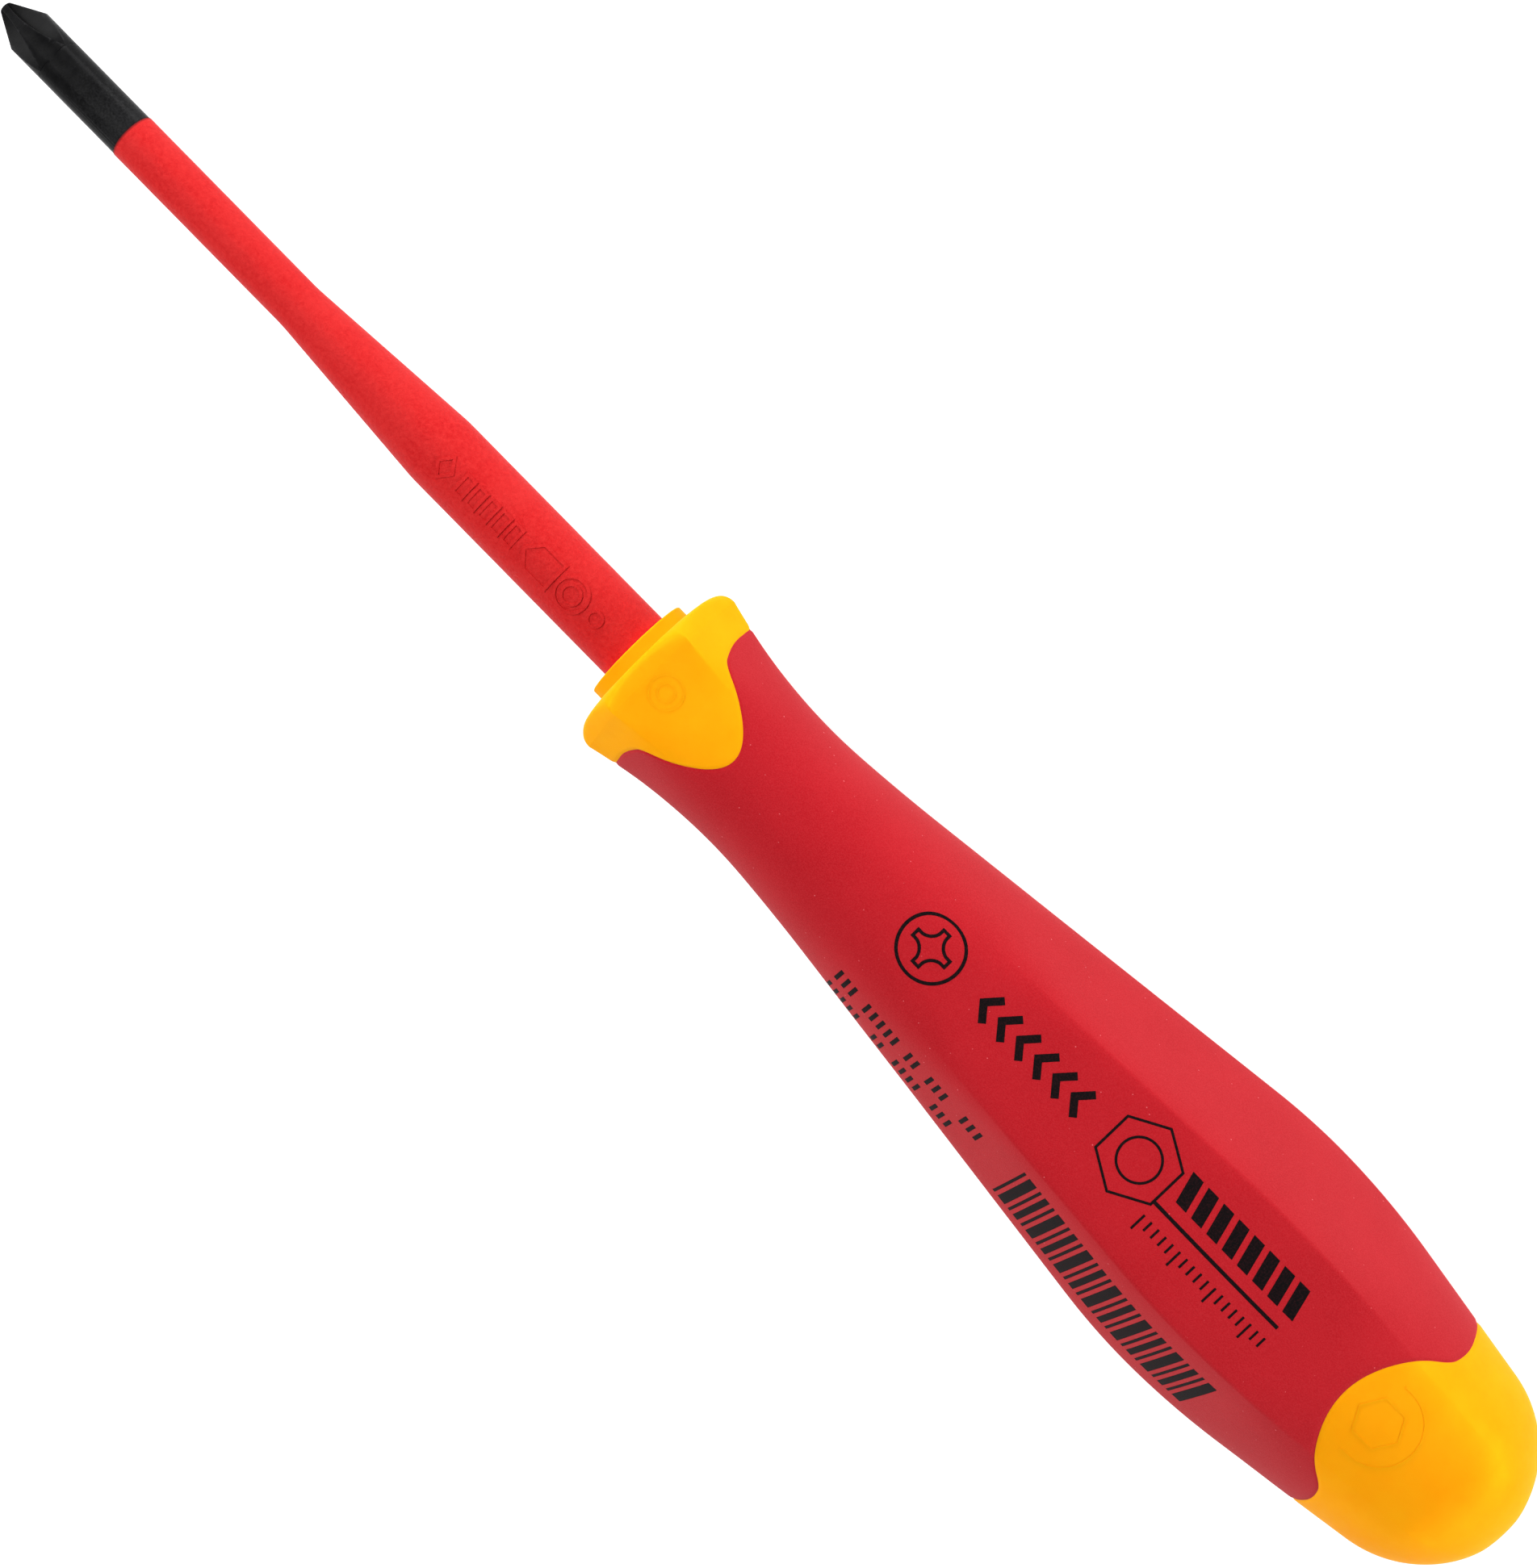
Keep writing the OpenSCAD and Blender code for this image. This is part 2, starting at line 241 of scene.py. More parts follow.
def petal_share(angle, turns, blends, foot):
    """How far a petal's edge has drawn back, from 0 on its middle line to 1 between two petals."""
    top, low, rest = [ramp(petal_angle(angle) - t, b) for t, b in zip(turns, blends)]
    whole = turns[1] - turns[0] + foot * (turns[2] - turns[1])
    return (top - low + foot * (low - rest)) / whole


def guard_line(angle):
    """Where the guard ends and the grip starts."""
    back = petal_share(angle, GUARD_TURNS, GUARD_BLENDS, GUARD_FOOT)
    return GUARD_PETAL - (GUARD_PETAL - GUARD_EDGE) * back


def cap_line(angle):
    """Where the grip ends and the end cap starts."""
    back = petal_share(angle, CAP_TURNS, CAP_BLENDS, CAP_FOOT)
    return HANDLE_LENGTH - CAP_PETAL + (CAP_PETAL - CAP_EDGE) * back


def place(h, r, angle):
    """Points in metres at the distance h, the radius r and an angle in degrees."""
    h, r, angle = np.broadcast_arrays(h, r, np.radians(angle))
    points = np.stack([HANDLE_X - h, r * np.sin(angle), AXIS_Z + r * np.cos(angle)], axis=-1)
    return points * MM


# ---------------------------------------------------------------------------------------------
# Mesh building
# ---------------------------------------------------------------------------------------------


def add_piece(name, points, faces, material, crease=35):
    """A mesh object that rides on the tool's one body."""
    mesh = bpy.data.meshes.new(name)
    mesh.from_pydata([tuple(p) for p in points], [], faces)
    mesh.validate()
    mesh.polygons.foreach_set("use_smooth", [True] * len(mesh.polygons))
    mesh.set_sharp_from_angle(angle=math.radians(crease))
    mesh.materials.append(material)
    piece = bpy.data.objects.new(name, mesh)
    bpy.context.scene.collection.objects.link(piece)
    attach(piece, "root")
    return piece


def band(first, second, count):
    """Quads between two loops of points, given the number of each one's first point."""
    return [
        (first + i, first + (i + 1) % count, second + (i + 1) % count, second + i)
        for i in range(count)
    ]


def solid_of(loops, tip=None, tail=None):
    """A closed surface through a row of loops that starts at the front. It closes with a fan to
    the points tip and tail, or without them like a ring, from the last loop to the first."""
    count = len(loops[0])
    points = [p for loop in loops for p in loop]
    faces = []
    for k in range(len(loops) - 1):
        faces += band(k * count, (k + 1) * count, count)
    if tip is None:
        faces += band((len(loops) - 1) * count, 0, count)
        return points, faces
    last = (len(loops) - 1) * count
    points += [tip, tail]
    tip_at, tail_at = len(points) - 2, len(points) - 1
    faces += [(tip_at, (i + 1) % count, i) for i in range(count)]
    faces += [(tail_at, last + i, last + (i + 1) % count) for i in range(count)]
    return points, faces


def rounded(outline, radius, parts=6):
    """An outline of (h, r) with its inner corners rounded, given one radius for each."""
    points = [np.array(p, float) for p in outline]
    out = [points[0]]
    for before, at, after, size in zip(points, points[1:], points[2:], radius):
        if not size:
            out.append(at)
            continue
        back = (before - at) / np.linalg.norm(before - at)
        ahead = (after - at) / np.linalg.norm(after - at)
        half = math.acos(np.clip(back @ ahead, -1, 1)) / 2
        reach = size / math.tan(half)
        start, end = at + back * reach, at + ahead * reach
        for t in np.linspace(0, 1, parts + 1):
            out.append((1 - t) ** 2 * start + 2 * t * (1 - t) * at + t * t * end)
    out.append(points[-1])
    return out


def ring_loops(outline, count):
    """Loops of a turned ring, from its outline of (h, r)."""
    angles = np.arange(count) * 360 / count
    return [place(h, r, angles) for h, r in outline]


# ---------------------------------------------------------------------------------------------
# Materials
# ---------------------------------------------------------------------------------------------


class Nodes:
    """A material's node tree, with short calls for the nodes that the materials share."""

    def __init__(self, name):
        self.material = bpy.data.materials.new(name)
        self.material.use_nodes = True
        self.tree = self.material.node_tree
        self.shader = self.tree.nodes["Principled BSDF"]
        self.place = self.add("ShaderNodeTexCoord").outputs["Object"]

    def add(self, kind, **settings):
        node = self.tree.nodes.new(kind)
        for key, value in settings.items():
            setattr(node, key, value)
        return node

    def link(self, source, target):
        self.tree.links.new(source, target)

    def stretched(self, x, y, z):
        """Object coordinates in millimetres, stretched by a factor along each axis."""
        node = self.add("ShaderNodeMapping")
        node.inputs["Scale"].default_value = (x / MM, y / MM, z / MM)
        self.link(self.place, node.inputs["Vector"])
        return node.outputs["Vector"]

    def along(self):
        """Distance along the tool, in millimetres."""
        node = self.add("ShaderNodeSeparateXYZ")
        self.link(self.stretched(1, 1, 1), node.inputs["Vector"])
        return node.outputs["X"]

    def noise(self, scale, detail=3, roughness=0.5, vector=None):
        """Noise with a number of cells in each millimetre."""
        node = self.add("ShaderNodeTexNoise")
        node.inputs["Scale"].default_value = scale
        node.inputs["Detail"].default_value = detail
        node.inputs["Roughness"].default_value = roughness
        self.link(vector or self.stretched(1, 1, 1), node.inputs["Vector"])
        return node.outputs["Fac"]

    def specks(self, scale):
        """Distance to the nearest of many scattered points, for specks."""
        node = self.add("ShaderNodeTexVoronoi")
        node.inputs["Scale"].default_value = scale
        self.link(self.stretched(1, 1, 1), node.inputs["Vector"])
        return node.outputs["Distance"]

    def span(self, value, low, high, to_low=0.0, to_high=1.0):
        """The value, moved from one range to another and kept inside it."""
        node = self.add("ShaderNodeMapRange")
        for key, number in (
            ("From Min", low), ("From Max", high), ("To Min", to_low), ("To Max", to_high)
        ):
            node.inputs[key].default_value = number
        self.link(value, node.inputs["Value"])
        return node.outputs["Result"]

    def mix(self, share, first, second):
        """A colour between two, each a colour or a link."""
        node = self.add("ShaderNodeMix", data_type="RGBA")
        self.link(share, node.inputs["Factor"])
        inputs = [s for s in node.inputs if s.type == "RGBA"]
        for socket, colour in zip(inputs, (first, second)):
            if isinstance(colour, tuple):
                socket.default_value = (*colour, 1)
            else:
                self.link(colour, socket)
        return next(s for s in node.outputs if s.type == "RGBA")

    def math(self, operation, first, second):
        node = self.add("ShaderNodeMath", operation=operation)
        for socket, value in zip(node.inputs, (first, second)):
            if isinstance(value, (int, float)):
                socket.default_value = value
            else:
                self.link(value, socket)
        return node.outputs["Value"]

    def bump(self, height, depth, before=None):
        """A normal bent by a height of so many millimetres."""
        node = self.add("ShaderNodeBump")
        node.inputs["Distance"].default_value = depth * MM
        self.link(height, node.inputs["Height"])
        if before:
            self.link(before, node.inputs["Normal"])
        return node.outputs["Normal"]

    def finish(self, colour, roughness, normal, **uniform):
        """Links the three patterned inputs, and sets the uniform ones."""
        self.link(colour, self.shader.inputs["Base Color"])
        self.link(roughness, self.shader.inputs["Roughness"])
        self.link(normal, self.shader.inputs["Normal"])
        for key, value in uniform.items():
            self.shader.inputs[key.replace("_", " ")].default_value = value
        return self.material


def black_steel():
    """Black oxide on drawn steel: fine lines round the bar, and lighter bare metal on sharp edges,
    partly wear and partly a painted edge highlight.
    """
    n = Nodes("black_steel")
    lines = n.noise(1, 4, 0.6, n.stretched(18, 1.2, 1.2))
    cloud = n.noise(0.9, 5, 0.6)
    # Lighter colour on sharp edges: partly worn bare metal, partly a painted highlight where
    # rounded edges would catch the light.
    edge = n.add("ShaderNodeNewGeometry").outputs["Pointiness"]
    edge_wear_and_glint = n.span(n.math("ADD", edge, n.math("MULTIPLY", n.noise(5), 0.05)), 0.56, 0.66)
    thick_oxide, thin_oxide = (0.005, 0.005, 0.0053), (0.0095, 0.0095, 0.0098)
    bare_edge_and_glint = (0.06, 0.06, 0.063)
    colour = n.mix(n.span(cloud, 0.35, 0.7), thick_oxide, thin_oxide)
    colour = n.mix(edge_wear_and_glint, colour, bare_edge_and_glint)
    roughness = n.span(lines, 0.3, 0.7, 0.24, 0.36)
    normal = n.bump(n.noise(5, 4, 0.6), 0.006, n.bump(lines, 0.0025))
    return n.finish(colour, roughness, normal, IOR=1.11)


def red_sleeve():
    """Matt moulded polyamide with a rough mottled skin, darkened along its front edge by painted
    shade.
    """
    n = Nodes("red_sleeve")
    mottle = n.noise(2.6, 5, 0.7)
    cloud = n.noise(0.25, 3)
    deep, light, pale = (0.54, 0.007, 0.009), (0.65, 0.022, 0.022), (0.64, 0.03, 0.028)
    # Painted shade: a dark band over the last 0.3 mm before the sleeve's front end, where the step
    # down to the bare steel lies in shade.
    front_shade_colour = (0.07, 0.004, 0.005)
    colour = n.mix(n.span(mottle, 0.34, 0.68), deep, light)
    colour = n.mix(n.span(cloud, 0.35, 0.75, 0, 0.4), colour, pale)
    front = TIP_X - BARE_LENGTH
    front_shade_mask = n.span(n.along(), front - 0.3, front - 0.05)
    colour = n.mix(front_shade_mask, colour, front_shade_colour)
    roughness = n.span(mottle, 0.3, 0.7, 0.46, 0.62)
    normal = n.bump(mottle, 0.07, n.bump(n.noise(9, 3), 0.012))
    return n.finish(colour, roughness, normal, IOR=1.17)


def red_grip():
    """Soft rubber: matt, faintly dusty, with tiny light specks and a fine spark-eroded grain."""
    n = Nodes("red_grip")
    grain = n.noise(8, 3, 0.6)
    cloud = n.noise(0.12, 4, 0.6)
    speck = n.span(n.specks(1.1), 0.05, 0.085, 1, 0)
    few = n.span(n.noise(1.7, 2), 0.52, 0.6)
    deep, light = (0.415, 0.006, 0.012), (0.46, 0.009, 0.016)
    dusty, fluff = (0.52, 0.022, 0.03), (0.8, 0.2, 0.22)
    colour = n.mix(n.span(cloud, 0.3, 0.75), deep, light)
    colour = n.mix(n.span(grain, 0.4, 0.65, 0, 0.5), colour, dusty)
    colour = n.mix(n.math("MULTIPLY", n.math("MULTIPLY", speck, few), 0.5), colour, fluff)
    roughness = n.span(grain, 0.3, 0.7, 0.5, 0.62)
    normal = n.bump(grain, 0.03, n.bump(n.noise(1.1, 3), 0.02))
    return n.finish(
        colour, roughness, normal,
        IOR=1.03, Sheen_Weight=0.075, Sheen_Roughness=0.6,
    )


def yellow_plastic(name, deep, light, smooth, rough, gloss):
    """Satin moulded plastic with slow colour clouds and a faint orange-peel skin."""
    n = Nodes(name)
    cloud = n.noise(0.18, 4, 0.6)
    peel = n.noise(1.6, 3)
    grain = n.noise(9, 3)
    colour = n.mix(n.span(cloud, 0.3, 0.75), deep, light)
    roughness = n.span(peel, 0.3, 0.7, smooth, rough)
    normal = n.bump(grain, 0.005, n.bump(peel, 0.02))
    n.shader.inputs["Subsurface Radius"].default_value = (0.9, 0.5, 0.1)
    return n.finish(
        colour, roughness, normal,
        IOR=1.03, Metallic=gloss, Subsurface_Weight=0.2, Subsurface_Scale=0.0012,
    )


def black_ink():
    """Printed ink: thin, satin, and slightly broken by the grain below it."""
    n = Nodes("black_ink")
    grain = n.noise(6, 4, 0.65)
    solid_ink, thin_ink = (0.006, 0.005, 0.0055), (0.03, 0.009, 0.011)
    colour = n.mix(n.span(grain, 0.45, 0.8), solid_ink, thin_ink)
    roughness = n.span(grain, 0.3, 0.7, 0.42, 0.58)
    normal = n.bump(grain, 0.01)
    return n.finish(colour, roughness, normal, IOR=1.08)


STEEL = black_steel()
SLEEVE = red_sleeve()
GRIP = red_grip()
HARD_YELLOW = {"deep": (0.95, 0.36, 0.003), "light": (0.99, 0.405, 0.005)}
CAP_SHADE = {"deep": (0.97, 0.35, 0.003), "light": (0.99, 0.395, 0.005)}
CORE_YELLOW = yellow_plastic("yellow_core", **HARD_YELLOW, smooth=0.38, rough=0.48, gloss=0.05)
GUARD_YELLOW = yellow_plastic("yellow_guard", **HARD_YELLOW, smooth=0.38, rough=0.48, gloss=0.06)
CAP_YELLOW = yellow_plastic("yellow_cap", **CAP_SHADE, smooth=0.42, rough=0.52, gloss=0.15)
INK = black_ink()

# ---------------------------------------------------------------------------------------------
# Blade and sleeve
# ---------------------------------------------------------------------------------------------


def flute_radius(turn, u):
    """Radius of a flute's wall at an angle (in radians) from the flute's middle. The wheel that
    grinds it has a V-shaped rim of 90 degrees."""
    reach = FLUTE_ROOT + WHEEL_R
    a = np.cos(2 * turn)
    b = reach * np.cos(turn) - WHEEL_R * np.sin(turn)
    c = reach ** 2 - WHEEL_R ** 2 + (u - WHEEL_AT) ** 2
    return c / (b + np.sqrt(np.maximum(b * b - a * c, 0)))


def wing_half_angle(radius, u):
    """Half the angle of a wing of the tip, in radians, where its flutes reach the outside."""
    low, high = np.zeros_like(u), np.full_like(u, math.pi / 4)
    for _ in range(40):
        middle = (low + high) / 2
        outside = flute_radius(middle, u) > radius
        high = np.where(outside, middle, high)
        low = np.where(outside, low, middle)
    return np.clip(math.pi / 4 - low, 0.01, math.pi / 4 - 0.004)


def blade():
    """The steel, with four flutes ground between the wings of its tip."""
    # Points over half a wing and over half a flute
    on_wing, in_flute = 5, 9
    behind_flutes = 7.6
    tip = np.array([0, 0.03, 0.1])
    cone = np.linspace(0.2, CONE_LENGTH, 22)
    bar = np.linspace(CONE_LENGTH + 0.12, behind_flutes, 30)
    rest = np.array([BARE_LENGTH])
    u = np.concatenate([tip, cone, bar, rest])
    outer = np.minimum(POINT_R + (STEEL_R - POINT_R) * u / CONE_LENGTH, STEEL_R)
    # A small round on the blunt point
    point_round = [0.09, 0.03]
    outer[: len(point_round)] -= point_round
    # Behind the flutes the points are spread evenly round the bar
    even = math.pi / 4 * (on_wing - 1) / (on_wing + in_flute - 2)
    half = np.where(flute_radius(0, u) < outer, wing_half_angle(outer, u), even)
    loops = []
    for at, radius, wing in zip(u, outer, half):
        turns = np.concatenate([
            np.linspace(0, wing, on_wing),
            np.linspace(wing, math.pi / 4, in_flute)[1:],
        ])
        wall = np.minimum(radius, flute_radius(np.abs(math.pi / 4 - turns), at))
        turns = np.concatenate([turns, math.pi / 2 - turns[-2:0:-1]])
        wall = np.concatenate([wall, wall[-2:0:-1]])
        angles = np.concatenate([turns + k * math.pi / 2 for k in range(4)])
        loops.append(place(at - BLADE_LENGTH, np.tile(wall, 4), np.degrees(angles)))
    hidden = [
        (BARE_LENGTH, STEPPED_R),
        (BLADE_LENGTH - THICK_LENGTH - TAPER_LENGTH, STEPPED_R),
        (BLADE_LENGTH - THICK_LENGTH, SHANK_R),
        (BLADE_LENGTH + STEEL_DEPTH - END_CHAMFER, SHANK_R),
        (BLADE_LENGTH + STEEL_DEPTH, SHANK_R - END_CHAMFER),
    ]
    for at, radius in hidden:
        loops.append(place(at - BLADE_LENGTH, radius, np.degrees(angles)))
    points, faces = solid_of(
        loops, place(-BLADE_LENGTH, 0, 0), place(STEEL_DEPTH, 0, 0)
    )
    piece = add_piece("steel_blade", points, faces, STEEL, crease=28)
    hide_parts("blade")


def sleeve():
    """The moulded insulation, with soft corners where its cone starts and ends."""
    front = BARE_LENGTH - BLADE_LENGTH
    slim_end = -THICK_LENGTH - TAPER_LENGTH
    edge_round, cone_round = 0.14, 18
    outline = rounded(
        [
            (front, STEPPED_R),
            (front, SLIM_R),
            (slim_end, SLIM_R),
            (-THICK_LENGTH, THICK_R),
            (-0.02, THICK_R),
            (0.02, ROOT_R),
            (SLEEVE_DEPTH, ROOT_R),
            (SLEEVE_DEPTH, SHANK_R),
            (-THICK_LENGTH, SHANK_R),
            (slim_end, STEPPED_R),
            (front, STEPPED_R),
        ],
        [edge_round, cone_round, cone_round, 0, 0, 0, 0, 0, 0],
    )
    points, faces = solid_of(ring_loops(outline[:-1], 96))
    piece = add_piece("insulating_sleeve", points, faces, SLEEVE)
    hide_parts("blade_insulation")


# ---------------------------------------------------------------------------------------------
# Handle
# ---------------------------------------------------------------------------------------------

AROUND = 360
ANGLES = np.arange(AROUND) * 360 / AROUND
# Largest distance between the rows of points on each part
GUARD_STEP, GRIP_STEP, CAP_STEP = 0.4, 0.6, 0.5
# Rows close to a joint line, as distances from it, and how deep and wide the groove there is
RIM_ROWS = [0, 0.05, 0.12, 0.2, 0.3, 0.45, 0.65, 1.0]
GROOVE_DEPTH = 0.1
GROOVE_WIDTH = 0.22


def groove(distance):
    """Depth of the groove at a distance from its joint line."""
    return GROOVE_DEPTH * np.exp(-((distance / GROOVE_WIDTH) ** 2))


def core_radius(h):
    """Radius of the core, which is the bore of the parts around it."""
    return np.interp(h, [p[0] for p in CORE_OUTLINE], [p[1] for p in CORE_OUTLINE])


def skin_rows(front, rear, spacing, front_rim=True, rear_rim=True):
    """Rows of the distance h between two joint lines, closer at each groove, and the depth of
    the groove on each row."""
    near = RIM_ROWS if front_rim else [0]
    far = RIM_ROWS if rear_rim else [0]
    start, end = front + near[-1], rear - far[-1]
    count = int(np.max(end - start) / spacing)
    rows = [front + d for d in near]
    rows += [start + (end - start) * k / count for k in range(1, count)]
    rows += [rear - d for d in reversed(far)]
    depth = []
    for row in rows:
        cut = np.zeros(AROUND)
        if front_rim:
            cut = cut + groove(row - front)
        if rear_rim:
            cut = cut + groove(rear - row)
        depth.append(cut)
    return rows, depth


def skin_loops(rows, depth):
    """Loops of the handle's surface, sunk by the depth of the grooves."""
    return [place(h, handle_radius(h, ANGLES) - cut, ANGLES) for h, cut in zip(rows, depth)]


def bore_loops(front, rear, count):
    """The bore behind a skin, as loops from its rear to its front."""
    rows = [rear + (front - rear) * k / count for k in range(count + 1)]
    return [place(h, core_radius(h), ANGLES) for h in rows]


def core():
    """The hard core, of which only the collar shows."""
    collar_round = 0.16
    outline = rounded(
        [(0, ROOT_R), (0, COLLAR_R), *CORE_OUTLINE, (CORE_OUTLINE[-1][0], SHANK_R)],
        [collar_round, 0, 0, 0, 0, 0],
    )
    outline += [(STEEL_DEPTH, SHANK_R), (SLEEVE_DEPTH, SHANK_R), (SLEEVE_DEPTH, ROOT_R)]
    points, faces = solid_of(ring_loops(outline, 120))
    piece = add_piece("handle_core_body", points, faces, CORE_YELLOW)
    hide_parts("handle_core")


def guard():
    """The front guard, a six-sided shoulder with two long petals."""
    shoulder = CREST_AT - COLLAR_LENGTH
    crest = [COLLAR_LENGTH + shoulder * (1 - math.cos(t)) for t in np.linspace(0, math.pi / 2, 22)]
    rows = [np.full(AROUND, h) for h in crest]
    depth = [np.zeros(AROUND)] * len(rows)
    more, cuts = skin_rows(
        np.full(AROUND, CREST_AT), guard_line(ANGLES), GUARD_STEP, front_rim=False
    )
    loops = skin_loops(rows + more[1:], depth + cuts[1:])
    front = np.full(AROUND, COLLAR_LENGTH)
    loops += bore_loops(front, guard_line(ANGLES), 6)
    points, faces = solid_of(loops)
    piece = add_piece("front_guard_shell", points, faces, GUARD_YELLOW, crease=50)
    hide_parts("front_guard")


def grip():
    """The soft grip between the two joint lines."""
    front, rear = guard_line(ANGLES), cap_line(ANGLES)
    loops = skin_loops(*skin_rows(front, rear, GRIP_STEP))
    loops += bore_loops(front, rear, 60)
    points, faces = solid_of(loops)
    piece = add_piece("soft_grip", points, faces, GRIP, crease=50)
    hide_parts("grip")


def cap():
    """The end cap: two long petals and a dome."""
    front = cap_line(ANGLES)
    rows, depth = skin_rows(front, np.full(AROUND, DOME_AT), CAP_STEP, rear_rim=False)
    turns = np.linspace(0, math.pi / 2, 40)[1:-1]
    rows += [np.full(AROUND, DOME_AT + DOME_LENGTH * math.sin(t)) for t in turns]
    depth += [np.zeros(AROUND)] * len(turns)
    loops = skin_loops(rows, depth)
    tail = CORE_OUTLINE[-1][0]
    # A tiny loop in the middle of the bore's end, which the fan there closes
    middle = place(tail, 0.02, ANGLES)
    loops = [middle] + bore_loops(front, np.full(AROUND, tail), 16) + loops
    points, faces = solid_of(loops, place(tail, 0, 0), place(HANDLE_LENGTH, 0, 0))
    piece = add_piece("end_cap_shell", points, faces, CAP_YELLOW, crease=50)
    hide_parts("end_cap")


# ---------------------------------------------------------------------------------------------
# Printed and raised marks, all of them plain shapes
# ---------------------------------------------------------------------------------------------

# Height of the ink above the grip, and how deep every mark reaches below the surface
INK_LIFT = 0.012
MARK_DEPTH = 0.05
# Largest step of a mark along its path, so that it follows the surface
MARK_STEP = 0.35


def on_handle(h, across, lift, flat=0):
    """A point on the handle, at a distance across the flat that faces an angle."""
    angle = flat + np.degrees(np.arctan2(across, handle_radius(h, flat)))
    return place(h, handle_radius(h, angle) + lift, angle)


def on_sleeve(u, across, lift):
    """A point on the upper side of the thick part of the sleeve."""
    return place(u - BLADE_LENGTH, THICK_R + lift, np.degrees(across / THICK_R))


def dense(path, closed=False):
    """The path with points added, so that no step is longer than MARK_STEP."""
    ends = path + path[:1] if closed else path
    points = []
    for start, end in zip(ends, ends[1:]):
        start, end = np.array(start, float), np.array(end, float)
        parts = max(1, math.ceil(np.linalg.norm(end - start) / MARK_STEP))
        points += [start + (end - start) * k / parts for k in range(parts)]
    return points if closed else points + [np.array(ends[-1], float)]


def stroke(path, width, closed=False):
    """Rows of three points across a line of even width, with mitred corners."""
    points = dense(path, closed)
    rows = []
    for i, point in enumerate(points):
        before = points[i - 1] if closed or i else point
        after = points[(i + 1) % len(points)] if closed or i + 1 < len(points) else point
        normals = []
        for start, end in ((before, point), (point, after)):
            step = end - start
            length = np.linalg.norm(step)
            if length:
                normals.append(np.array([-step[1], step[0]]) / length)
        side = normals[0] + normals[-1]
        side *= width / (side @ normals[0])
        rows.append([point - side / 2, point, point + side / 2])
    return rows, closed


def block(start, end, low, high, slant=0):
    """Rows across a filled bar between two distances along the tool."""
    across = np.linspace(low, high, math.ceil((high - low) / MARK_STEP) + 1)
    count = math.ceil((end - start) / MARK_STEP) + 1
    lean = slant * (across - across.mean())
    return [list(zip(at + lean, across)) for at in np.linspace(start, end, count)], False


def ring(centre, radius, width, parts=64):
    """A round line about a centre."""
    turns = np.arange(parts) * 2 * math.pi / parts
    path = [(centre[0] + radius * math.cos(t), centre[1] + radius * math.sin(t)) for t in turns]
    return stroke(path, width, closed=True)


def film(rows, closed, on_surface, lift):
    """A thin closed skin over rows of (along, across) points."""
    grid = np.array(rows)
    count, wide = grid.shape[:2]
    top = on_surface(grid[..., 0], grid[..., 1], lift)
    low = on_surface(grid[..., 0], grid[..., 1], -MARK_DEPTH)
    loops = np.concatenate([top, low[:, ::-1]], axis=1)
    points = [tuple(p) for loop in loops for p in loop]
    around = 2 * wide
    faces = []
    for k in range(count if closed else count - 1):
        faces += band(k * around, (k + 1) % count * around, around)
    if not closed:
        for first in (0, (count - 1) * around):
            for i in range(wide - 1):
                upper, lower = first + i, first + around - 1 - i
                faces.append((upper, upper + 1, lower - 1, lower))
    return points, faces


def mark(name, shapes, on_surface, lift, material):
    """One piece made of several shapes that lie on the same surface."""
    points, faces = [], []
    for rows, closed in shapes:
        more, quads = film(rows, closed, on_surface, lift)
        faces += [tuple(i + len(points) for i in quad) for quad in quads]
        points += more
    piece = add_piece(name, points, faces, material, crease=30)
    shape = bmesh.new()
    shape.from_mesh(piece.data)
    bmesh.ops.recalc_face_normals(shape, faces=shape.faces)
    shape.to_mesh(piece.data)
    shape.free()
    return piece


def handle_side(flat):
    """The handle's surface, with distances across measured on the flat that faces an angle."""
    return lambda h, across, lift: on_handle(h, across, lift, flat)


def print_on(name, shapes, flat):
    """Ink on the flat that faces an angle."""
    return mark(name, shapes, handle_side(flat), INK_LIFT, INK)


def star(centre, reach, half_width, bow_at, bow_r):
    """The outline of a cross recess: four blunt arms with a round hollow between each pair."""
    # Angle at which the hollow's arc starts, on the straight side of an arm
    start = math.asin((bow_at - half_width) / bow_r)
    path = []
    for k in range(4):
        turn = k * math.pi / 2
        corner = [(reach, -half_width), (reach, half_width)]
        arc = [
            (bow_at - bow_r * math.cos(t), bow_at - bow_r * math.sin(t))
            for t in np.linspace(math.pi / 2 - start, start, 12)[::-1]
        ]
        for a, b in corner + arc:
            path.append((
                centre[0] + a * math.cos(turn) - b * math.sin(turn),
                centre[1] + a * math.sin(turn) + b * math.cos(turn),
            ))
    return path


def polygon(centre, radius, sides, first=0):
    """Corners of an even polygon, with the first one at an angle in degrees."""
    turns = [math.radians(first + 360 / sides * k) for k in range(sides)]
    return [(centre[0] + radius * math.cos(t), centre[1] + radius * math.sin(t)) for t in turns]


